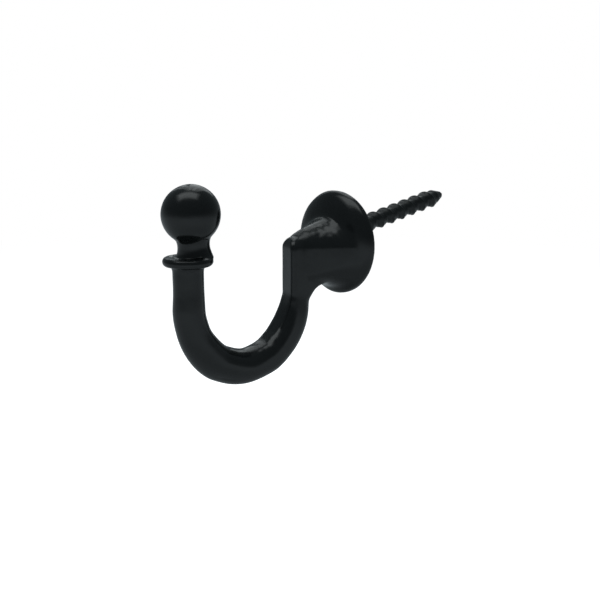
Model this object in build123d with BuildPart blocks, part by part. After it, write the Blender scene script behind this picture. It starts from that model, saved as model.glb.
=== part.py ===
from build123d import *
import os
from math import cos, pi, radians, sin

# A ball-ended curtain tieback hook: one black coated casting with a wood screw set in its back.
#
# Frame, in millimetres: the origin is the middle of the flange's back face, which lies on the wall.
# +Y runs into the wall, -Y out into the room, +Z is up, and the hook's own plane is X = 0.

# flange that lies on the wall: an upright rim and a dome that is half an ellipse
FLANGE_D = 22.1
FLANGE_EDGE = 0.25
RIM_H = 0.8
DOME_H = 4.7
RECESS_D = 5.8
RECESS_Z = 1.6
RECESS_DEPTH = 0.6

# bar of the hook: front leg and round bend
BEND_R = 13.88
BEND_Y = -26.6
BEND_Z = -9.0
# height and diameter down the front leg
LEG_SECTIONS = ((0.6, 6.8), (-0.5, 6.4), (-1.6, 6.1), (-4.5, 6.1))
# angle round the bend from the end of the front leg, radius to the bar's middle, and its diameter
BEND_SECTIONS = ((0, 13.88, 6.4), (20, 13.8, 6.75), (40, 13.75, 7.25), (62, 13.85, 7.5), (90, 13.93, 7.25),
                 (120, 14.0, 6.95), (150, 14.0, 6.5), (166, 14.05, 5.9), (180, 14.1, 3.8))

# ball, neck and collar on top of the front leg
BALL_D = 11.55
BALL_Y = -39.62
BALL_Z = 9.42
COLLAR_D = 9.9
COLLAR_TOP = 1.25
COLLAR_T = 1.75
COLLAR_EDGE_R = 0.82
COLLAR_DISH_D = 8.0
COLLAR_WELL_D = 6.1
COLLAR_DISH = 0.3
# height, middle, width and depth of the neck, which stands off the leg's axis towards the wall
NECK_SECTIONS = ((5.9, -39.4, 8.2, 8.2), (4.5, -39.2, 6.7, 6.5), (3.2, -39.05, 6.4, 6.2),
                 (1.9, -38.85, 7.0, 6.6), (1.0, -38.75, 8.0, 6.9))

# knee and arm that carry the bar out of the flange
KNEE_Y = -15.15
KNEE_SLANT = 16.0
KNEE_R = 2.6
KNEE_EDGE_R = 1.0
ARM_W = 5.3
ARM_TOP = 2.75
ARM_BOTTOM = -8.0
KNEE_BLOCK_H = 30.0
KNEE_BLOCK_FRONT_Y = -17.0
ARMPIT_Y = -5.2
ARMPIT_R = 4.8
ARMPIT_EDGE_R = 2.2
# place, width, top and bottom of the arm as it spreads from the knee to the flange, the height of its
# rounded keel, and how full its crown is: 2 is half an ellipse, less is more like a roof
ARM_SECTIONS = ((-12.9, 5.2, 2.7, -7.9, 2.6, 2.0), (-10.8, 7.0, 3.72, -7.9, 2.85, 1.75),
                (-8.7, 8.9, 4.35, -7.9, 3.3, 1.65), (-6.6, 11.4, 4.97, -8.05, 4.1, 1.65),
                (-4.5, 14.7, 5.7, -8.8, 5.8, 1.65), (-2.4, 19.8, 6.9, -9.8, 8.0, 1.65))
# height where the arm's upright sides turn into its crown, and the points on half of that crown
ARM_SPRING_Z = -0.15
CROWN_POINTS = 4

# wood screw in the back, which leans upwards
SCREW_D = 4.2
SCREW_ROOT_D = 3.0
SCREW_L = 34.2
SCREW_PITCH = 3.45
SCREW_Z = 1.57
SCREW_LEAN = 10.75
SCREW_TIP_L = 4.2
SCREW_TIP_D = 1.5
SCREW_TIP_FLAT_D = 0.75
SHANK_DEPTH = 9.0
THREAD_START = -0.1
THREAD_PHASE = 0.5
# half widths of the thread's crest and foot, as shares of its pitch, and the points on each flank
CREST_SHARE = 0.02
FOOT_SHARE = 0.4
FLANK_POINTS = 6
# wide sleeve that the screw's pointed outline is cut from
SLEEVE_R = 4.2
SLEEVE_CLEARANCE = 0.01

LEG_Y = BEND_Y - BEND_R


def wall_plane(y):
    """Plane parallel to the wall, seen from the room: its x is X and its y is Z."""
    return Plane(origin=(0, y, 0), x_dir=(1, 0, 0), z_dir=(0, -1, 0))


def bend_plane(angle, radius):
    """Plane square across the bar at an angle round the bend."""
    a = radians(angle)
    centre = (0, BEND_Y - radius * cos(a), BEND_Z - radius * sin(a))
    return Plane(origin=centre, x_dir=(1, 0, 0), z_dir=(0, sin(a), -cos(a)))


def edges_of_radius(part, radius):
    """The part's round edges of one radius."""
    circles = part.edges().filter_by(GeomType.CIRCLE)
    return circles.filter_by(lambda edge: abs(edge.radius - radius) < 0.01)


def crown_points(half_width, rise, fullness):
    """Points over the arm's crown, from its +X side to its -X side."""
    points = []
    for step in range(2 * CROWN_POINTS + 1):
        a = pi / 2 * (1 - step / CROWN_POINTS)
        across, up = abs(sin(a)) ** (2 / fullness), cos(a) ** (2 / fullness)
        points.append((half_width * across * (1 if a > 0 else -1), ARM_SPRING_Z + rise * up))
    return points


def thread_point(turn):
    """Point of the screw's cross-section, a share of a turn round from the thread's crest."""
    away = abs(turn - round(turn))
    height = (FOOT_SHARE - away) / (FOOT_SHARE - CREST_SHARE)
    height = min(max(height, 0), 1)
    radius = SCREW_ROOT_D / 2 + (SCREW_D - SCREW_ROOT_D) / 2 * height
    angle = 2 * pi * (turn + THREAD_PHASE)
    return radius * cos(angle), radius * sin(angle)


lean = radians(SCREW_LEAN)
screw_foot = (0, 0, SCREW_Z)
screw_way = (0, cos(lean), sin(lean))
across_screw = Plane(origin=screw_foot, x_dir=(1, 0, 0), z_dir=screw_way)
along_screw = Plane(origin=screw_foot, x_dir=(1, 0, 0), z_dir=(0, -sin(lean), cos(lean)))
screw_axis = Axis(screw_foot, screw_way)
slant = radians(KNEE_SLANT)
facet_plane = Plane(origin=(0, KNEE_Y, 0), x_dir=(cos(slant), -sin(slant), 0),
                    z_dir=(-sin(slant), -cos(slant), 0))

# bar: round sections from inside the collar, down the front leg and round the bend
with BuildPart() as bar:
    for height, diameter in LEG_SECTIONS:
        with BuildSketch(Plane(origin=(0, LEG_Y, height), x_dir=(1, 0, 0), z_dir=(0, 0, -1))):
            Circle(diameter / 2)
    for angle, radius, diameter in BEND_SECTIONS:
        with BuildSketch(bend_plane(angle, radius)):
            Circle(diameter / 2)
    loft()

# ball on its neck
with BuildPart() as finial:
    for height, middle, width, depth in NECK_SECTIONS:
        with BuildSketch(Plane.XY.offset(height)):
            with Locations((0, middle)):
                Ellipse(width / 2, depth / 2)
    loft()
    with Locations((0, BALL_Y, BALL_Z)):
        Sphere(BALL_D / 2)

# collar: a round-edged disc with a dished top
with BuildPart() as collar:
    with BuildSketch(wall_plane(LEG_Y)):
        with BuildLine():
            Polyline((0, COLLAR_TOP - COLLAR_T), (COLLAR_D / 2, COLLAR_TOP - COLLAR_T),
                     (COLLAR_D / 2, COLLAR_TOP), (COLLAR_DISH_D / 2, COLLAR_TOP),
                     (COLLAR_WELL_D / 2, COLLAR_TOP - COLLAR_DISH), (0, COLLAR_TOP - COLLAR_DISH),
                     close=True)
        make_face()
    revolve(axis=Axis((0, LEG_Y, 0), (0, 0, 1)))
    fillet(edges_of_radius(collar, COLLAR_D / 2), COLLAR_EDGE_R)

# flange: an upright rim under a dome
with BuildPart() as flange:
    with BuildSketch(Plane.XY):
        with BuildLine():
            Polyline((0, -DOME_H), (0, 0), (FLANGE_D / 2, 0), (FLANGE_D / 2, -RIM_H))
            EllipticalCenterArc((0, -RIM_H), FLANGE_D / 2, DOME_H - RIM_H, start_angle=270, arc_size=90)
        make_face()
    revolve(axis=Axis.Y)
    chamfer(flange.faces().filter_by(Axis.Y).sort_by(Axis.Y)[-1].edges(), FLANGE_EDGE)

# knee: the arm's round-topped section with a slanted facet in front, cut to the side outlines of its
# top corner, which is slanted with the facet, and of the armpit below
with BuildPart() as knee:
    with BuildSketch(wall_plane(ARMPIT_Y)):
        with Locations((0, ARM_TOP)):
            SlotOverall(KNEE_BLOCK_H, ARM_W, rotation=90, align=(Align.MAX, Align.CENTER))
    extrude(amount=ARMPIT_Y - KNEE_BLOCK_FRONT_Y)
    split(bisect_by=facet_plane, keep=Keep.BOTTOM)
    facet = knee.faces().sort_by(Axis((0, 0, 0), facet_plane.z_dir))[-1]
    fillet(facet.edges(), KNEE_EDGE_R)
    with BuildSketch(Plane.YZ):
        with BuildLine():
            corner_start = (KNEE_Y, ARM_TOP - KNEE_R)
            corner_end = (KNEE_Y + KNEE_R, ARM_TOP)
            pit_z = ARM_BOTTOM - ARMPIT_R
            RadiusArc(corner_start, corner_end, KNEE_R)
            Polyline(corner_end, (0, ARM_TOP), (0, pit_z), (KNEE_Y, pit_z), corner_start)
        make_face()
    extrude(amount=ARM_W, dir=facet_plane.x_dir, both=True, mode=Mode.INTERSECT)
    with BuildSketch(Plane.YZ):
        with BuildLine():
            pit_end = (ARMPIT_Y, ARM_BOTTOM)
            pit_start = (ARMPIT_Y - ARMPIT_R, pit_z)
            RadiusArc(pit_end, pit_start, -ARMPIT_R)
            Polyline(pit_start, (KNEE_BLOCK_FRONT_Y, pit_z), (KNEE_BLOCK_FRONT_Y, ARM_TOP),
                     (ARMPIT_Y, ARM_TOP), pit_end)
        make_face()
    extrude(amount=ARM_W, both=True, mode=Mode.INTERSECT)
    fillet(edges_of_radius(knee, ARMPIT_R), ARMPIT_EDGE_R)

# arm: sections with a crown, upright sides and a rounded keel, which spread like a trumpet
with BuildPart() as arm:
    for y, width, top, bottom, keel_height, fullness in ARM_SECTIONS:
        with BuildSketch(wall_plane(y)):
            with BuildLine():
                side = width / 2
                crown = Spline(*crown_points(side, top - ARM_SPRING_Z, fullness), tangents=((0, 1), (0, -1)))
                keel = EllipticalCenterArc((0, bottom + keel_height), side, keel_height, start_angle=180,
                                           arc_size=180)
                Line(crown @ 1, keel @ 0)
                Line(keel @ 1, crown @ 0)
            make_face()
    loft()

# the casting is all of these as one piece, with a shallow recess and a blind hole for the screw
with BuildPart() as hook:
    for form in (bar, finial, collar, flange, knee, arm):
        add(form.part)
    with BuildSketch(Plane.XZ):
        with Locations((0, RECESS_Z)):
            Circle(RECESS_D / 2)
    extrude(amount=RECESS_DEPTH, mode=Mode.SUBTRACT)
    with BuildSketch(across_screw):
        Circle(SCREW_ROOT_D / 2)
    extrude(amount=-SHANK_DEPTH, mode=Mode.SUBTRACT)
hook.part.label = "hook"

# wood screw: its section turned once per pitch, cut to a pointed outline, on a plain shank
flank_share = (FOOT_SHARE - CREST_SHARE) / (FLANK_POINTS - 1)
flank = [CREST_SHARE + flank_share * step for step in range(FLANK_POINTS)]
with BuildPart() as screw:
    with BuildLine(across_screw) as core:
        Line((0, 0, THREAD_START), (0, 0, SCREW_L))
    with BuildLine() as turns:
        Helix(SCREW_PITCH, SCREW_L - THREAD_START, SCREW_D, center=core.line @ 0, direction=screw_way)
    with BuildSketch(across_screw.offset(THREAD_START)):
        with BuildLine():
            ThreePointArc(thread_point(-CREST_SHARE), thread_point(0), thread_point(CREST_SHARE))
            Spline(*[thread_point(turn) for turn in flank])
            ThreePointArc(thread_point(FOOT_SHARE), thread_point(0.5), thread_point(-FOOT_SHARE))
            Spline(*[thread_point(-turn) for turn in reversed(flank)])
        make_face()
    sweep(path=core.line, binormal=turns.edge())
    with BuildSketch(along_screw):
        with BuildLine():
            cone_start = SCREW_L - SCREW_TIP_L
            cone_end = SCREW_L - SCREW_TIP_FLAT_D / 2
            Polyline((0, SCREW_L), (0, THREAD_START), (SLEEVE_R, THREAD_START), (SLEEVE_R, cone_start),
                     (SCREW_D / 2 + SLEEVE_CLEARANCE, cone_start), (SCREW_TIP_D / 2, cone_end),
                     (SCREW_TIP_FLAT_D / 2, SCREW_L), close=True)
        make_face()
    revolve(axis=screw_axis, mode=Mode.INTERSECT)
    with BuildSketch(across_screw.offset(THREAD_START)):
        Circle(SCREW_ROOT_D / 2)
    extrude(amount=-(SHANK_DEPTH + THREAD_START))
screw.part.label = "screw"

os.makedirs("parts", exist_ok=True)
export_step(hook.part, "parts/hook.step")
export_step(screw.part, "parts/screw.step")
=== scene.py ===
# %% [markdown]
# # A ball-ended curtain tieback hook
#
# The real hook is one small casting, dipped or sprayed in thick black enamel, with a wood screw
# set in its back. It has no moving parts and no fabric, so everything here is about form and
# finish: soft blends where one shape runs into the next, and a gloss that is never quite even.
#
# The measured part comes first. The box that it fills is kept, because the dressed hook has to
# fill the same one.

# %% Load the measured part
import math

import bmesh
import bpy
import numpy as np
from mathutils import Matrix, Vector


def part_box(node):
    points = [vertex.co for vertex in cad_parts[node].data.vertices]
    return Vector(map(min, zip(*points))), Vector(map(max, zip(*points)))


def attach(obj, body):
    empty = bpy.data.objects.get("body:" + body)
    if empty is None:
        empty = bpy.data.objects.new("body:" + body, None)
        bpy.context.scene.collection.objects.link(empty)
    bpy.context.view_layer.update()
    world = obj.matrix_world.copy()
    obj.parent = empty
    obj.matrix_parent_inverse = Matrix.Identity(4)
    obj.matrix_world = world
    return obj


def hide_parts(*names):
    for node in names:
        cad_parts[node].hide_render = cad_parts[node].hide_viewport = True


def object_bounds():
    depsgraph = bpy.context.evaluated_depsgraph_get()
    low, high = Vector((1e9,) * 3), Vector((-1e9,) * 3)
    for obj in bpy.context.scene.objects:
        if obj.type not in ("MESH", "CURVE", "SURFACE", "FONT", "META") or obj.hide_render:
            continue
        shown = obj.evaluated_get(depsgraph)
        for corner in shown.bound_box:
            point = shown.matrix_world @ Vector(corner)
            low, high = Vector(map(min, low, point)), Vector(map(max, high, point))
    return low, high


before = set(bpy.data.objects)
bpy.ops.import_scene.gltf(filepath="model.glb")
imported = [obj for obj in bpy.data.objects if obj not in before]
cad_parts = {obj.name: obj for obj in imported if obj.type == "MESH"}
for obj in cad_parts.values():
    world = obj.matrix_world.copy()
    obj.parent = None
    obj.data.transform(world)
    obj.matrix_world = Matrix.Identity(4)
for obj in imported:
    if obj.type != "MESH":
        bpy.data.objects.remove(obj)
cad_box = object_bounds()
scene = bpy.context.scene
MM = 0.001
print("nodes:", sorted(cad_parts))
for node in sorted(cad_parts):
    low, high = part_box(node)
    print(node, "fills, in mm,", [[round(v / MM, 2) for v in corner] for corner in (low, high)])

# %% [markdown]
# ## Sizes
#
# The same sizes drive the solids and these surfaces, in millimetres. Each form of the casting
# is a stack of sections: a bar that thickens towards the bottom of its bend, a neck that
# leans off the leg's middle, an arm that spreads like a trumpet into the flange. Writing the
# sections as small tables keeps the shape readable, and a foundry pattern maker works the
# same way, with templates at stations along the piece.

# %% Sizes of the casting and the screw
BEND_Y, BEND_Z, BEND_R = -26.6, -9.0, 13.88
LEG_Y = BEND_Y - BEND_R
# height and diameter down the front leg
LEG_SECTIONS = ((0.6, 6.8), (-0.5, 6.4), (-1.6, 6.1), (-4.5, 6.1))
# angle round the bend, radius to the bar's middle, and the bar's diameter
BEND_SECTIONS = ((0, 13.88, 6.4), (20, 13.8, 6.75), (40, 13.75, 7.25), (62, 13.85, 7.5),
                 (90, 13.93, 7.25))

BALL_D, BALL_Y, BALL_Z = 11.55, -39.62, 9.42
# height, middle, width and depth of the neck
NECK_SECTIONS = ((1.0, -38.75, 8.0, 6.9), (1.9, -38.85, 7.0, 6.6), (3.2, -39.05, 6.4, 6.2),
                 (4.5, -39.2, 6.7, 6.5), (5.9, -39.4, 8.2, 8.2))
COLLAR_D, COLLAR_TOP, COLLAR_T, COLLAR_EDGE_R = 9.9, 1.25, 1.75, 0.82
COLLAR_DISH_D, COLLAR_WELL_D, COLLAR_DISH = 8.0, 6.1, 0.3

FLANGE_D, FLANGE_EDGE, RIM_H, DOME_H = 22.1, 0.25, 0.8, 4.7
RECESS_D, RECESS_Z, RECESS_DEPTH = 5.8, 1.6, 0.6

KNEE_Y, KNEE_SLANT, KNEE_R, KNEE_EDGE_R = -15.15, 16.0, 2.6, 1.0
KNEE_MIDDLE_Y = BEND_Y + 14.1
# heights of the knee's stations: round the armpit, then up its straight sides, and last how far
# they climb round the crown, in degrees
ARMPIT_HEIGHTS, SIDE_HEIGHTS = (-9.3, -8.9, -8.5, -8.25, -8.1, -7.95), (-7.4, -5.5, -3.6, -1.7)
CROWN_TURNS = (12, 24, 36, 48, 60, 70, 79)
ARM_W, ARM_TOP, ARM_BOTTOM = 5.3, 2.75, -8.0
ARMPIT_Y, ARMPIT_R, ARMPIT_EDGE_R = -5.2, 4.8, 2.2
# where the round bar turns flat-sided and then into the knee: angle round the bend, radius to
# its middle, half width, reach to the front and to the back, corner radii in front and at the
# back, and share of the slant
FOOT_SECTIONS = ((112, 13.98, 3.52, 3.52, 3.52, 3.0, 3.2, 0.0),
                 (132, 14.0, 3.38, 3.38, 3.38, 2.5, 2.9, 0.0),
                 (150, 14.0, 3.2, 3.24, 3.24, 2.15, 2.7, 0.15),
                 (163, 14.05, 2.98, 3.06, 3.02, 1.8, 2.6, 0.45),
                 (171, 14.08, 2.78, 2.88, 2.86, 1.3, 2.6, 0.8))
# place, width, top and bottom of the arm as it spreads from the knee to the flange, height of its
# rounded keel, and how full its crown is: 2 is half an ellipse, less is more like a roof
ARM_SECTIONS = ((-12.9, 5.2, 2.7, -7.9, 2.6, 2.0), (-10.8, 7.0, 3.72, -7.9, 2.85, 1.75),
                (-8.7, 8.9, 4.35, -7.9, 3.3, 1.65), (-6.6, 11.4, 4.97, -8.05, 4.1, 1.65),
                (-4.5, 14.7, 5.7, -8.8, 5.8, 1.65), (-2.4, 19.8, 6.9, -9.8, 8.0, 1.65))
ARM_SPRING_Z = -0.15

SCREW_D, SCREW_ROOT_D, SCREW_L, SCREW_PITCH = 4.2, 3.0, 34.2, 3.45
SCREW_Z, SCREW_LEAN, SCREW_TIP_L, SCREW_TIP_D = 1.57, 10.75, 4.2, 1.5
TIP_BLUNT, TIP_ROUNDING, SCREW_SUNK = 0.62, 5.0, 2.2
THREAD_START, THREAD_PHASE, CREST_SHARE, FOOT_SHARE = -0.1, 0.5, 0.02, 0.43
print("bar thickest", max(d for _, _, d in BEND_SECTIONS), "mm, ball", BALL_D, "mm")
print("screw", SCREW_D, "mm over the thread,", SCREW_L, "mm long")

# %% [markdown]
# ## One helper for every lofted form
#
# A loft needs two things: a smooth way between the stations, and skin over the rings. The
# curve through a column of numbers below is a monotone cubic, the kind that never overshoots
# between two stations, so a bar doesn't bulge where the table says it only thickens. The skin
# joins each ring to the next with quads and closes both ends.

# %% Helpers: smooth columns and skinned rings
def through(knots, values, at):
    """Monotone cubic through the values at the knots, read at other places."""
    knots, values, at = (np.asarray(v, float) for v in (knots, values, at))
    run = np.diff(knots)
    slope = np.diff(values, axis=0) / (run if values.ndim == 1 else run[:, None])
    tangent = np.zeros_like(values)
    before, after = slope[:-1], slope[1:]
    total = before + after
    same_way = before * after > 0
    tangent[1:-1] = np.where(same_way, 2 * before * after / np.where(same_way, total, 1), 0)
    tangent[0], tangent[-1] = slope[0], slope[-1]
    i = np.clip(np.searchsorted(knots, at, side="right") - 1, 0, len(run) - 1)
    step = run[i]
    t = (at - knots[i]) / step
    if values.ndim == 2:
        t, step = t[:, None], step[:, None]
    return ((1 + 2 * t) * (1 - t) ** 2 * values[i] + t * (1 - t) ** 2 * step * tangent[i]
            + t * t * (3 - 2 * t) * values[i + 1] + t * t * (t - 1) * step * tangent[i + 1])


def skin(name, rings):
    """A closed mesh object over rings of points in millimetres, each ring the same length."""
    rings = np.asarray(rings, float) * MM
    rows, around = rings.shape[:2]
    mesh = bpy.data.meshes.new(name)
    index = np.arange(rows * around).reshape(rows, around)
    turned = np.roll(index, -1, axis=1)
    quads = np.stack([index[:-1], turned[:-1], turned[1:], index[1:]], axis=-1).reshape(-1, 4)
    faces = quads.tolist() + [index[0, ::-1].tolist(), index[-1].tolist()]
    mesh.from_pydata(rings.reshape(-1, 3).tolist(), [], faces)
    shape = bmesh.new()
    shape.from_mesh(mesh)
    bmesh.ops.recalc_face_normals(shape, faces=shape.faces)
    shape.to_mesh(mesh)
    shape.free()
    piece = bpy.data.objects.new(name, mesh)
    scene.collection.objects.link(piece)
    print(name, "skinned over", rows, "rings,", len(mesh.polygons), "faces")
    return piece


AROUND = 96
TURN = np.linspace(0, 2 * math.pi, AROUND, endpoint=False)

# %% [markdown]
# ## The bar and its knee
#
# On the real hook this is the part that carries the cord: a round bar that comes down from the
# collar, turns through half a circle and rises into the knee. It is thickest a little before
# the bottom of the bend. At the knee the round turns into a flat-sided section with a flat
# facet towards the room, as if filed, and the facet fades out into the round. One family of
# sections covers both: a rounded rectangle whose corners are so large in the bar that nothing
# flat is left.

# %% The bar: sections from inside the collar, round the bend and up to the knee's top
def bar_stations():
    """Rows of y, z, tilt, half width, reach to front and back, their corner radii, and slant."""
    rows = []
    for height, diameter in LEG_SECTIONS:
        r = diameter / 2
        rows.append((LEG_Y, height, 0.0, r, r, r, r, r, 0.0))
    for angle, radius, diameter in BEND_SECTIONS:
        a, r = math.radians(angle), diameter / 2
        rows.append((BEND_Y - radius * math.cos(a), BEND_Z - radius * math.sin(a), a,
                     r, r, r, r, r, 0.0))
    for angle, radius, *shape in FOOT_SECTIONS:
        a = math.radians(angle)
        rows.append((BEND_Y - radius * math.cos(a), BEND_Z - radius * math.sin(a), a, *shape))
    middle, half = KNEE_MIDDLE_Y, ARM_W / 2
    pit_z = ARM_BOTTOM - ARMPIT_R
    for z in ARMPIT_HEIGHTS:
        back = ARMPIT_Y - math.sqrt(max(ARMPIT_R ** 2 - (z - pit_z) ** 2, 0)) - middle
        rows.append((middle, z, math.pi, half, middle - KNEE_Y, back,
                     KNEE_EDGE_R, ARMPIT_EDGE_R, 1.0))
    crown = ARM_SPRING_Z + half * np.sin(np.radians(CROWN_TURNS))
    for z in (*SIDE_HEIGHTS, ARM_SPRING_Z, *crown):
        width = math.sqrt(half ** 2 - (z - ARM_SPRING_Z) ** 2) if z > ARM_SPRING_Z else half
        corner = KNEE_R - math.sqrt(KNEE_R ** 2 - max(z - ARM_TOP + KNEE_R, 0) ** 2)
        edge = min(KNEE_EDGE_R, 0.95 * width)
        rows.append((middle, z, math.pi, width, middle - KNEE_Y - corner, ARMPIT_Y - middle,
                     edge, edge, 1.0))
    return np.array(rows)


def bar_rings(count):
    """Rounded rectangles square across the bar, never overshooting between the stations."""
    stations = bar_stations()
    length = np.concatenate([[0], np.cumsum(np.hypot(*np.diff(stations[:, :2], axis=0).T))])
    track = through(length, stations, np.linspace(0, length[-1], count))
    side, away = (np.sign(np.round(v, 6)) for v in (np.cos(TURN), np.sin(TURN)))
    tilt = math.tan(math.radians(KNEE_SLANT))
    rings = []
    for y, z, a, half, front, back, front_r, back_r, slant in track:
        corner = np.where(away > 0, back_r, front_r)
        reach = np.where(away > 0, back - back_r, front - front_r)
        across = (half - corner) * side + corner * np.cos(TURN)
        outward = reach * away + corner * np.sin(TURN)
        outward = outward - slant * tilt * across * np.clip(-outward / front, 0, 1)
        rings.append(np.stack([across, y - math.cos(a) * outward, z - math.sin(a) * outward],
                              axis=1))
    return rings


bar = skin("bar", bar_rings(count=360))

# %% [markdown]
# ## Ball, neck and collar
#
# The ball keeps the cord from slipping off. It was turned or cast with a short neck, and the
# neck stands a little off the leg's middle, towards the wall, which shows as a step on one side
# of the collar only. The collar is a flat bead with a dished top: its rim is the highest part
# and catches the light as a thin line.

# %% The ball, the neck and the collar
def round_profile(profile, centre):
    """Rings about an upright axis, from pairs of radius and height."""
    return [np.stack([r * np.cos(TURN), centre + r * np.sin(TURN), np.full(AROUND, z)], axis=1)
            for r, z in profile]


def ball_profile(rows):
    """Radius and height down a sphere, with points that are never quite at its poles."""
    lift = np.linspace(0.01, math.pi - 0.01, rows)
    return [(BALL_D / 2 * math.sin(a), BALL_Z - BALL_D / 2 * math.cos(a)) for a in lift]


def neck_rings(count):
    table = np.array(NECK_SECTIONS)
    heights = np.linspace(table[0, 0], table[-1, 0], count)
    return [np.stack([w / 2 * np.cos(TURN), y + d / 2 * np.sin(TURN), np.full(AROUND, z)], axis=1)
            for z, (y, w, d) in zip(heights, through(table[:, 0], table[:, 1:], heights))]


def collar_profile():
    """Half section of the collar: round rim, dished top."""
    low, top, rim = COLLAR_TOP - COLLAR_T, COLLAR_TOP, COLLAR_D / 2
    core = rim - COLLAR_EDGE_R
    points = [(0.05, low), (core, low)]
    for a in np.linspace(-80, 80, 17):
        a = math.radians(a)
        points.append((core + COLLAR_EDGE_R * math.cos(a),
                       (low + top) / 2 + COLLAR_T / 2 * math.sin(a)))
    well = top - COLLAR_DISH
    return points + [(COLLAR_DISH_D / 2, top), (COLLAR_WELL_D / 2, well), (0.05, well)]


ball = skin("ball", round_profile(ball_profile(rows=64), BALL_Y))
neck = skin("neck", neck_rings(count=40))
collar = skin("collar", round_profile(collar_profile(), LEG_Y))

# %% [markdown]
# ## The flange
#
# The flange is a rim that stands straight up from the wall for less than a millimetre, and a
# dome on it that is half an ellipse. Its outline isn't a perfect circle: it is a little fuller
# at the top, and flatter on one side and low down, as if the rim had been dressed by hand. Such
# small faults are what tells a casting from a turned part. Three soft swellings round the
# circle, felt only near the rim, do the same here.

# %% The flange
def soft_step(t):
    """Rises smoothly from 0 to 1 as t does."""
    t = np.clip(t, 0, 1)
    return t * t * (3 - 2 * t)


# where the rim is fuller or flatter: place round the flange and width, in degrees, and share
DRESSED_SPOTS = ((97, 24, 0.018), (180, 22, -0.03), (243, 17, -0.04))


def about_wall_axis(profile):
    """Rings about the Y axis, from pairs of radius and distance into the room."""
    spots = sum(share * np.exp(-(((np.degrees(TURN) - place) / width) ** 2))
                for place, width, share in DRESSED_SPOTS)
    rings = []
    for r, out in profile:
        near_rim = soft_step((r / (FLANGE_D / 2) - 0.7) / 0.25) * soft_step(out / 1.2)
        reach = r * (1 + spots * near_rim)
        rings.append(np.stack([reach * np.cos(TURN), np.full(AROUND, -out),
                               reach * np.sin(TURN)], axis=1))
    return rings


def flange_profile():
    """Half section of the flange: flat back, upright rim, and a dome that is half an ellipse."""
    rim = FLANGE_D / 2
    points = [(0.05, 0), (rim - FLANGE_EDGE, 0), (rim, FLANGE_EDGE)]
    for a in np.linspace(0, math.radians(89.5), 40):
        points.append((rim * math.cos(a), RIM_H + (DOME_H - RIM_H) * math.sin(a)))
    return points


flange = skin("flange", about_wall_axis(flange_profile()))

# %% [markdown]
# ## The arm
#
# From the knee the arm runs back to the wall and spreads all the way, slowly at first and then
# like the bell of a trumpet, until it is nearly as wide as the flange and goes under its dome.
# Its top is a crown between an arch and a roof, its sides are straight, and its bottom is a
# rounded keel. The last station lies inside the dome, so that no end of the arm shows.

# %% The arm and its spread
def arm_rings(sections, count):
    """Rings parallel to the wall: a crown on top, straight sides, half an ellipse below."""
    table = np.array(sections)
    places = np.linspace(table[0, 0], table[-1, 0], count)
    shapes = through(table[:, 0], table[:, 1:], places)
    across, rise = np.cos(TURN), np.sin(TURN)
    rings = []
    for y, (width, top, bottom, keel, crown) in zip(places, shapes):
        power = np.where(rise >= 0, 2 / crown, 1.0)
        x = width / 2 * np.sign(across) * np.abs(across) ** power
        z = np.where(rise >= 0, ARM_SPRING_Z + (top - ARM_SPRING_Z) * np.abs(rise) ** power,
                     bottom + keel + keel * rise)
        rings.append(np.stack([x, np.full(AROUND, y), z], axis=1))
    return rings


arm = skin("arm", arm_rings(ARM_SECTIONS, count=72))

# %% [markdown]
# ## Casting them as one
#
# The forms overlap, but the real thing has no seams. A voxel remesh turns the pile into one
# skin, as if it were poured: it keeps the outside and forgets what is inside. The grid leaves
# tiny steps, and relaxing takes them out: each point moves half way to the middle of its
# neighbours, and then back by slightly more, so that the steps go and the form doesn't shrink.

# %% Join the forms and remesh them
VOXEL = 0.206 * MM


def apply_modifiers(piece):
    """Freezes a piece's modifiers into its mesh."""
    bpy.context.view_layer.update()
    evaluated = piece.evaluated_get(bpy.context.evaluated_depsgraph_get())
    mesh = bpy.data.meshes.new_from_object(evaluated)
    piece.modifiers.clear()
    piece.data = mesh
    return piece


def join(name, pieces):
    """One mesh object from several, without merging anything."""
    shape = bmesh.new()
    for piece in pieces:
        shape.from_mesh(piece.data)
    mesh = bpy.data.meshes.new(name)
    shape.to_mesh(mesh)
    shape.free()
    for piece in pieces:
        bpy.data.objects.remove(piece)
    joined = bpy.data.objects.new(name, mesh)
    scene.collection.objects.link(joined)
    return joined


casting = join("hook_casting", [bar, ball, neck, collar, flange, arm])
pour = casting.modifiers.new("pour", "REMESH")
pour.mode, pour.voxel_size, pour.adaptivity = "VOXEL", VOXEL, 0
apply_modifiers(casting)
print("casting", len(casting.data.vertices), "points,", len(casting.data.polygons), "faces")

# %% Relax the skin
IN_SHARE, BACK_SHARE = 0.5, 0.53


def points_of(piece):
    co = np.empty(len(piece.data.vertices) * 3)
    piece.data.vertices.foreach_get("co", co)
    return co.reshape(-1, 3)


def set_points(piece, co):
    piece.data.vertices.foreach_set("co", co.ravel())
    piece.data.update()


class Relaxer:
    """Moves points towards the middle of their neighbours, and back so that nothing shrinks."""

    def __init__(self, piece):
        edges = np.empty(len(piece.data.edges) * 2, int)
        piece.data.edges.foreach_get("vertices", edges)
        self.ends = edges.reshape(-1, 2)
        self.count = len(piece.data.vertices)
        self.degree = np.bincount(self.ends.ravel(), minlength=self.count)[:, None]

    def mean(self, values):
        total = np.zeros_like(values)
        for column in range(values.shape[1]):
            a, b = self.ends[:, 0], self.ends[:, 1]
            total[:, column] = (np.bincount(a, values[b, column], self.count)
                                + np.bincount(b, values[a, column], self.count))
        return total / self.degree

    def run(self, co, rounds):
        for _ in range(rounds):
            co = co + IN_SHARE * (self.mean(co) - co)
            co = co - BACK_SHARE * (self.mean(co) - co)
        return co


def normals_of(piece):
    found = np.empty(len(piece.data.vertices) * 3, np.float32)
    piece.data.vertices.foreach_get("normal", found)
    return found.reshape(-1, 3).astype(float)


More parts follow.
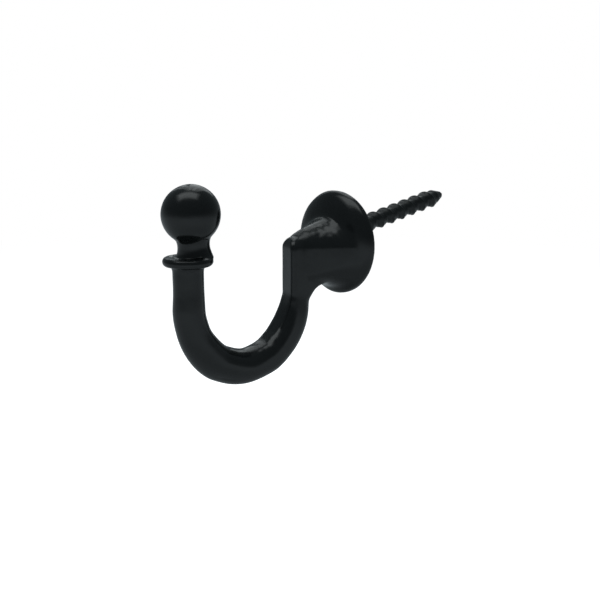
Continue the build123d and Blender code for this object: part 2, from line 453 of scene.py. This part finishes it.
relaxer = Relaxer(casting)
co = points_of(casting)
co = relaxer.run(co, rounds=7)
set_points(casting, co)
print("relaxed", len(co), "points")

# %% [markdown]
# ## Corners that fill
#
# Where two forms meet, a thick coat gathers and rounds the corner, while it leaves the open
# surfaces alone. So points in a hollow may move outwards only, round after round. The arm and
# the flange get the most of it, because their blends are the widest, and the collar keeps its
# edges.

# %% Let the corners fill, as thick enamel does
FILL_ROUNDS = 48
FILL_FROM_Y, FILL_FULL_OVER, FILL_ELSEWHERE = -14.5, 4.0, 0.35
towards_wall = soft_step((co[:, 1] / MM - FILL_FROM_Y) / FILL_FULL_OVER)[:, None]
amount = FILL_ELSEWHERE + (1 - FILL_ELSEWHERE) * towards_wall
for _ in range(FILL_ROUNDS):
    normal = normals_of(casting)
    pull = relaxer.mean(co) - co
    outward = np.maximum((pull * normal).sum(axis=1, keepdims=True), 0)
    co = co + amount * outward * normal
    set_points(casting, co)
co = relaxer.run(co, rounds=4)
print("corners filled; the casting spans", [round(v, 2) for v in np.ptp(co, axis=0) / MM], "mm")

# %% [markdown]
# ## An uneven coat
#
# Enamel runs a little before it sets. Long low lumps bend the reflections everywhere by a few
# hundredths of a millimetre, and short ones break the highlights where the coat is least
# even: on the arm's top and inside the bend. The back lies flat on the wall, so it has none,
# only the shallow recess round the screw.

# %% Uneven coat: small seeded lumps, stronger on the arm's top and inside the bend
chance = np.random.default_rng(7)


def lumps(at, wavelength, waves=48):
    """Smooth random height over places in millimetres, about 1 up or down."""
    ways = chance.normal(size=(waves, 3))
    ways /= np.linalg.norm(ways, axis=1, keepdims=True)
    pitch = 2 * math.pi / (wavelength * chance.uniform(0.75, 1.5, waves))
    phase = chance.uniform(0, 2 * math.pi, waves)
    height = np.zeros(len(at))
    for way, k, start in zip(ways, pitch, phase):
        height += np.sin(at @ way * k + start)
    return height / math.sqrt(waves / 2)


def between(values, start, run_in, end, run_out):
    """1 between two places, falling softly to 0 at the start and at the end."""
    return soft_step((values - start) / run_in) * soft_step((end - values) / run_out)


normal = normals_of(casting)
at = co / MM
facing_up = normal[:, 2]
arm_top = between(at[:, 1], start=-15.5, run_in=2, end=-3.0, run_out=2)
arm_top *= soft_step((facing_up - 0.2) / 0.5)
in_bend = between(at[:, 1], start=-27, run_in=4, end=-13.5, run_out=1.5)
in_bend *= soft_step((-11 - at[:, 2]) / 2)
in_bend *= soft_step((facing_up - 0.1) / 0.5)
uneven = np.clip(arm_top + in_bend, 0, 1)
# height and length of the lumps: long low ones, short ones everywhere, short ones where uneven
(LONG, LONG_WAVE), (FINE, FINE_WAVE) = (0.016, 7.0), (0.0022, 1.8)
ROUGH, ROUGH_WAVE = 0.011, 1.5
height = LONG * lumps(at, LONG_WAVE) + FINE * lumps(at, FINE_WAVE)
height += uneven * ROUGH * lumps(at, ROUGH_WAVE)
height *= soft_step(-at[:, 1] / 0.6)
co = co + (height * MM)[:, None] * normal

# the recess sinks in over a narrow slope, and only the points of the flat back move
inside = RECESS_D / 2 + 0.1 - np.hypot(at[:, 0], at[:, 2] - RECESS_Z)
on_back = (normal[:, 1] > 0.5) * (at[:, 1] > -0.4)
co[:, 1] -= RECESS_DEPTH * MM * soft_step(inside / 0.3) * on_back
set_points(casting, co)
print("coat uneven by up to", round(float(np.abs(height).max()), 3), "mm")

# %% [markdown]
# ## The screw
#
# The screw's thread is a V that winds round a plain core. Instead of sweeping a profile along
# a helix, every point on a fine tube asks how far round the thread it is, and stands out by
# that much. It makes one clean skin, and the coat that fills the thread's corners is just a
# softer answer to the same question.

# %% The screw's skin
lean = math.radians(SCREW_LEAN)
screw_foot = np.array([0, 0, SCREW_Z])
screw_way = np.array([0, math.cos(lean), math.sin(lean)])
screw_side = np.array([1.0, 0, 0])
screw_down = np.cross(screw_way, screw_side)


def screw_radius(along):
    """Radius round the screw at one place along it."""
    turn = TURN / (2 * math.pi) - THREAD_PHASE - (along - THREAD_START) / SCREW_PITCH
    away = np.abs(turn - np.round(turn))
    height = np.clip((FOOT_SHARE - away) / (FOOT_SHARE - CREST_SHARE), 0, 1)
    height = height + 0.06 * np.sin(2 * math.pi * height)
    height = height * soft_step((along - THREAD_START) / 0.3)
    radius = SCREW_ROOT_D / 2 + (SCREW_D - SCREW_ROOT_D) / 2 * height
    to_tip = max(SCREW_L - along, 0) / SCREW_TIP_L
    if to_tip < 1:
        limit = TIP_BLUNT * SCREW_TIP_D / 2 + (SCREW_D - TIP_BLUNT * SCREW_TIP_D) / 2 * to_tip
        limit = limit * math.sqrt(min(1, to_tip * TIP_ROUNDING))
        radius = np.minimum(radius, limit)
    return radius


def screw_rings(count):
    rings = []
    for along in np.linspace(-SCREW_SUNK, SCREW_L - 0.004, count):
        r = screw_radius(along)[:, None]
        centre = screw_foot + along * screw_way
        around = np.cos(TURN)[:, None] * screw_side + np.sin(TURN)[:, None] * screw_down
        rings.append(centre + r * around)
    return rings


screw = skin("wood_screw", screw_rings(count=620))

# %% [markdown]
# ## Finishes
#
# Black enamel is two things at once: a nearly black body, and a clear glossy face whose small
# waves bend every reflection. The waves come from two sizes of noise in the bump, one as long
# as a few millimetres for pooling, one fine for dust under the coat. The screw is blackened
# too, but its finish is thinner and duller, so light spreads softly over each turn.

# %% Helpers: the nodes that the materials share
def noise(tree, where, scale, detail):
    """Noise over a place, as a value from 0 to 1."""
    made = tree.nodes.new("ShaderNodeTexNoise")
    made.inputs["Scale"].default_value = scale
    made.inputs["Detail"].default_value = detail
    tree.links.new(where, made.inputs["Vector"])
    return made.outputs["Fac"]


def mixed(tree, factor, first, second):
    """Colour between two plain colours."""
    mix = tree.nodes.new("ShaderNodeMix")
    mix.data_type = "RGBA"
    mix.inputs["A"].default_value = (*first, 1)
    mix.inputs["B"].default_value = (*second, 1)
    tree.links.new(factor, mix.inputs["Factor"])
    return mix.outputs["Result"]


def ranged(tree, value, before, after, smooth="LINEAR"):
    """A value moved from one range to another."""
    moved = tree.nodes.new("ShaderNodeMapRange")
    moved.interpolation_type = smooth
    for name, number in zip(("From Min", "From Max", "To Min", "To Max"), (*before, *after)):
        moved.inputs[name].default_value = number
    tree.links.new(value, moved.inputs["Value"])
    return moved.outputs["Result"]


def bumped(tree, height, distance, below=None):
    """Bump from a height, on top of another bump or on the plain face."""
    bump = tree.nodes.new("ShaderNodeBump")
    bump.inputs["Strength"].default_value = 1.0
    bump.inputs["Distance"].default_value = distance
    tree.links.new(height, bump.inputs["Height"])
    if below is not None:
        tree.links.new(below, bump.inputs["Normal"])
    return bump.outputs["Normal"]


print("helpers ready:", ", ".join(f.__name__ for f in (noise, mixed, ranged, bumped)))

# %% The two finishes
PATCH_SCALE, DUST_SCALE = 260.0, 2600.0
UNEVEN_SHARE = 0.2


def enamel(name, colour, roughness, specular, pooling, fleck):
    """Black coat: body colour, gloss that varies, and two sizes of unevenness in the bump."""
    material = bpy.data.materials.new(name)
    material.use_nodes = True
    tree = material.node_tree
    shader = tree.nodes["Principled BSDF"]
    where = tree.nodes.new("ShaderNodeTexCoord").outputs["Object"]
    patches = noise(tree, where, PATCH_SCALE, 3.0)
    dust = noise(tree, where, DUST_SCALE, 2.0)
    less, more = 1 - UNEVEN_SHARE, 1 + UNEVEN_SHARE
    tone = mixed(tree, patches, [c * less for c in colour], [c * more for c in colour])
    gloss = ranged(tree, patches, (0.3, 0.7), (roughness * less, roughness * more))
    waves = bumped(tree, patches, pooling * MM)
    grains = bumped(tree, dust, fleck * MM, below=waves)
    tree.links.new(tone, shader.inputs["Base Color"])
    tree.links.new(gloss, shader.inputs["Roughness"])
    tree.links.new(grains, shader.inputs["Normal"])
    shader.inputs["Specular IOR Level"].default_value = specular
    print(name, "made with", len(tree.nodes), "nodes")
    return material


black_enamel = enamel("black_enamel", (0.0115, 0.0132, 0.0138),
                      roughness=0.17, specular=0.27, pooling=0.03, fleck=0.0008)
blackened_steel = enamel("blackened_steel", (0.012, 0.0145, 0.015),
                         roughness=0.38, specular=0.26, pooling=0.01, fleck=0.0006)

# %% [markdown]
# ## Dressing the solids
#
# Each dressed piece rides the same body as the solid that it stands for, and takes that solid's
# place, with its own finish; the solid is hidden. The measured solids themselves are not changed.

# %% Dress the two pieces
for piece, finish, node, slot in ((casting, black_enamel, "hook", "black_coat"),
                                  (screw, blackened_steel, "screw", "screw_steel")):
    piece.data.materials.clear()
    piece.data.materials.append(finish)
    for face in piece.data.polygons:
        face.use_smooth = True
    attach(piece, "root")
    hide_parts(node)
    print(piece.name, "stands for", node)

# %% [markdown]
# ## Floor, light and camera
#
# A small gloss black thing shows nothing but its surroundings, so those are built as in a
# studio: a pale floor below, soft boxes above and behind, and a dim room in between. The dark
# band between floor and lamps is what draws the edges of the forms.

# %% The floor
FLOOR_DROP, FLOOR_SIZE = 45 * MM, 12.0
MIDDLE = (0, -0.02, 0)
floor_z = cad_box[0][2] - FLOOR_DROP
bpy.ops.mesh.primitive_plane_add(size=FLOOR_SIZE, location=(MIDDLE[0], MIDDLE[1], floor_z))
floor = bpy.context.active_object
floor.name = "floor"
print("floor", round(floor_z / MM, 1), "mm from the middle of the flange")

# %% [markdown]
# ## Paper that is white for the eye and grey for the gloss
#
# The paper has three answers, and the kind of ray that asks picks one. The camera finds it
# white, with the hook's faint shadow on it. Rays that light the hook find plain diffuse paper,
# which fades out with distance. Rays that the gloss sends out find a glow with a lit table's
# light painted in: brightest round the hook, falling off towards the horizon, with a painted
# shadow straight below the hook and painted shade on the side away from the light.

# %% What the gloss finds in the paper
# the paper's own grey, how white the camera finds it below the hook, and how far out, in
# metres, it begins to fade and has faded
PAPER, SHADE_KEPT = 0.8, 0.93
FADE_FROM, FADE_TO = 0.10, 0.50
# for the gloss, whose light is painted: its colour, how far out it stays full, and what is left
# at the horizon, in the painted shadow below the hook out to an edge, and in the painted shade on
# the side away from the light
PAPER_IN_GLOSS, GLOSS_FULL_TO, HORIZON_SHARE = (0.76, 0.86, 0.91), 0.36, 0.4
PAINTED_SHADOW_SHARE, PAINTED_SHADOW_EDGE, PAINTED_FAR_SHADE_SHARE = 0.6, 0.17, 0.45
# way from the hook to the brighter side of the table
LIGHT_SIDE = (0.743, -0.669, 0.0)


def maths(tree, operation, *values):
    """A math node over sockets and plain numbers."""
    made = tree.nodes.new("ShaderNodeMath")
    made.operation = operation
    for slot, value in zip(made.inputs, values):
        if isinstance(value, float):
            slot.default_value = value
        else:
            tree.links.new(value, slot)
    return made


def vector_maths(tree, operation, first, second=None):
    """A vector math node over a socket, and over a plain vector where it needs one."""
    made = tree.nodes.new("ShaderNodeVectorMath")
    made.operation = operation
    tree.links.new(first, made.inputs[0])
    if second is not None:
        made.inputs[1].default_value = second
    return made.outputs


def painted_light_in_gloss(tree, where, reach):
    """Painted light that the gloss finds on the paper, with painted shade below the hook and on
    the far side.
    """
    nearness = maths(tree, "DIVIDE", GLOSS_FULL_TO, reach)
    nearness.use_clamp = True
    heading = vector_maths(tree, "NORMALIZE", where)["Vector"]
    towards = vector_maths(tree, "DOT_PRODUCT", heading, LIGHT_SIDE)["Value"]
    horizon = ranged(tree, nearness.outputs["Value"], (0, 1), (HORIZON_SHARE, 1))
    # painted shadow straight below the hook, and painted shade on the side away from the light
    painted_shadow = ranged(tree, reach, (0, PAINTED_SHADOW_EDGE), (PAINTED_SHADOW_SHARE, 1), "SMOOTHSTEP")
    side = ranged(tree, towards, (-1, 1), (PAINTED_FAR_SHADE_SHARE, 1))
    nearby = maths(tree, "MULTIPLY", painted_shadow, side).outputs["Value"]
    return maths(tree, "MULTIPLY", horizon, nearby).outputs["Value"]


print("the gloss finds", PAPER_IN_GLOSS, "out to", GLOSS_FULL_TO, "m")

# %% The paper itself
def emission(tree, colour=None, strength=None):
    """An emission shader, with its colour or its strength from a socket."""
    made = tree.nodes.new("ShaderNodeEmission")
    for slot, value in (("Color", colour), ("Strength", strength)):
        if value is not None:
            tree.links.new(value, made.inputs[slot])
    return made


def either(tree, is_kind, otherwise, then):
    """One shader for a kind of ray, another one for the rest."""
    mix = tree.nodes.new("ShaderNodeMixShader")
    for slot, value in zip(mix.inputs, (is_kind, otherwise, then)):
        tree.links.new(value, slot)
    return mix.outputs["Shader"]


def studio_paper(name):
    """Pale paper: white to the camera, a lit table painted in for the gloss, diffuse to all other
    rays.
    """
    material = bpy.data.materials.new(name)
    material.use_nodes = True
    tree = material.node_tree
    tree.nodes.remove(tree.nodes["Principled BSDF"])
    where = tree.nodes.new("ShaderNodeTexCoord").outputs["Object"]
    reach = vector_maths(tree, "LENGTH", where)["Value"]
    fade = ranged(tree, reach, (FADE_FROM, FADE_TO), (0, 1), "SMOOTHSTEP")

    lit = tree.nodes.new("ShaderNodeBsdfDiffuse")
    tree.links.new(mixed(tree, fade, (PAPER,) * 3, (0.0,) * 3), lit.inputs["Color"])
    white = emission(tree, colour=mixed(tree, fade, (SHADE_KEPT,) * 3, (1.0,) * 3))
    seen = tree.nodes.new("ShaderNodeAddShader")
    tree.links.new(lit.outputs["BSDF"], seen.inputs[0])
    tree.links.new(white.outputs["Emission"], seen.inputs[1])
    # the painted light, shadow and shade that the gloss finds on the paper
    gloss = emission(tree, strength=painted_light_in_gloss(tree, where, reach))
    gloss.inputs["Color"].default_value = (*PAPER_IN_GLOSS, 1)

    rays = tree.nodes.new("ShaderNodeLightPath").outputs
    for_camera = either(tree, rays["Is Camera Ray"], lit.outputs["BSDF"], seen.outputs["Shader"])
    shader = either(tree, rays["Is Glossy Ray"], for_camera, gloss.outputs["Emission"])
    tree.links.new(shader, tree.nodes["Material Output"].inputs["Surface"])
    print(name, "made with", len(tree.nodes), "nodes")
    return material


floor.data.materials.append(studio_paper("paper"))

# %% [markdown]
# ## The world and the lamps
#
# Past the paper there is a dim room, which the world stands in for: grey at the horizon, so that
# it meets the paper, and darker above. The camera finds it white. Two lamps lie over the hook,
# one bright and one larger and softer round it, like a diffuser that spills over its edges. Four
# tall strips stand behind the hook, for windows: they draw the bright line over the ball and
# along the flange's upper edge. Each lamp's strength is given as its brightness, so a bigger
# lamp isn't a dimmer one.

# %% The world round the set
ROOM_ABOVE, ROOM_LEVELS = (0.13, 0.155, 0.165), (-0.06, 0.2)
ROOM_BELOW = [0.75 * c * HORIZON_SHARE for c in PAPER_IN_GLOSS]
world = bpy.data.worlds.new("studio")
scene.world = world
world.use_nodes = True
tree = world.node_tree
background = tree.nodes["Background"]
split = tree.nodes.new("ShaderNodeSeparateXYZ")
tree.links.new(tree.nodes.new("ShaderNodeTexCoord").outputs["Generated"], split.inputs["Vector"])
haze = ranged(tree, split.outputs["Z"], ROOM_LEVELS, (0, 1), "SMOOTHSTEP")
room = mixed(tree, haze, ROOM_BELOW, ROOM_ABOVE)
pick = tree.nodes.new("ShaderNodeMix")
pick.data_type = "RGBA"
pick.inputs["B"].default_value = (1, 1, 1, 1)
is_camera = tree.nodes.new("ShaderNodeLightPath").outputs["Is Camera Ray"]
for value, socket in ((is_camera, "Factor"), (room, "A")):
    tree.links.new(value, pick.inputs[socket])
tree.links.new(pick.outputs["Result"], background.inputs["Color"])
background.inputs["Strength"].default_value = 1.0
print("room from", [round(c, 3) for c in ROOM_BELOW], "at the horizon to", ROOM_ABOVE, "above")

# %% The lamps
def toward(azimuth, elevation):
    """Way from the hook, with azimuth 0 into the room and 90 towards +X."""
    a, e = math.radians(azimuth), math.radians(elevation)
    return Vector((math.sin(a) * math.cos(e), -math.cos(a) * math.cos(e), math.sin(e)))


COOL = (0.93, 0.99, 1.0)
LEFT_TO_RIGHT, UPWARDS = toward(138, 0), Vector((0, 0, 1))
# name, azimuth, elevation, distance, two sides in metres, brightness, and the second side's way
LAMPS = (("overhead", -10, 80, 0.50, (0.22, 0.50), 1.6, LEFT_TO_RIGHT),
         ("overhead_edge", -10, 80, 0.55, (0.38, 0.72), 0.75, LEFT_TO_RIGHT),
         ("back_0", -150, 43, 0.6, (0.15, 0.60), 1.0, UPWARDS),
         ("back_1", -132, 43, 0.6, (0.15, 0.60), 1.1, UPWARDS),
         ("back_2", -117, 43, 0.6, (0.07, 0.60), 0.9, UPWARDS),
         ("back_3", -107, 43, 0.6, (0.05, 0.60), 0.8, UPWARDS))


def soft_box(name, azimuth, elevation, distance, size, brightness, along):
    """A rectangular lamp round the hook, aimed at it, with its second side along a way."""
    lamp = bpy.data.lights.new(name, "AREA")
    lamp.shape, lamp.size, lamp.size_y = "RECTANGLE", size[0], size[1]
    lamp.energy = brightness * math.pi * size[0] * size[1]
    lamp.color = COOL
    way = toward(azimuth, elevation)
    side = (along - along.dot(way) * way).normalized()
    axes = Matrix((side.cross(way), side, way)).transposed().to_4x4()
    holder = bpy.data.objects.new(name, lamp)
    holder.matrix_world = Matrix.Translation(Vector(MIDDLE) + distance * way) @ axes
    scene.collection.objects.link(holder)
    print(name, round(lamp.energy, 3), "W")


for lamp_row in LAMPS:
    soft_box(*lamp_row)

# %% [markdown]
# ## The camera
#
# The camera looks from the room, well round to the hook's side and a little above it, from
# about a hand's length away. The ball's middle is the fixed point: the camera's place is given
# by how far away the ball is along the line of sight, and how far it is off that line.

# %% The camera
AZIMUTH, ELEVATION = 47.9, 11.3
# in mm: how far away the ball's middle is along the line of sight, and how far it is to the
# left of that line and above it
BALL_AWAY, BALL_LEFT, BALL_ABOVE = 210.85, 20.95, 14.51
LENS, SENSOR = 66, 36
# how far the line of sight is above the frame's middle, as a share of the frame's width
SIGHT_ABOVE_MIDDLE = 1 / 60
back = np.array(toward(AZIMUTH, ELEVATION))
right = np.array([math.cos(math.radians(AZIMUTH)), math.sin(math.radians(AZIMUTH)), 0])
up = np.cross(back, right)
ball_middle = np.array([0, BALL_Y, BALL_Z])
camera_data = bpy.data.cameras.new("camera")
camera_data.sensor_width = SENSOR
camera_data.lens = LENS
camera_data.shift_y = -SIGHT_ABOVE_MIDDLE
camera_data.clip_start = 0.005
camera = bpy.data.objects.new("camera", camera_data)
place = (ball_middle + BALL_AWAY * back + BALL_LEFT * right - BALL_ABOVE * up) * MM
camera.location = place
camera.rotation_euler = Vector(-back).to_track_quat("-Z", "Y").to_euler()
scene.collection.objects.link(camera)
scene.camera = camera
scene.view_settings.view_transform = "Standard"
print("camera at", [round(v, 4) for v in place])
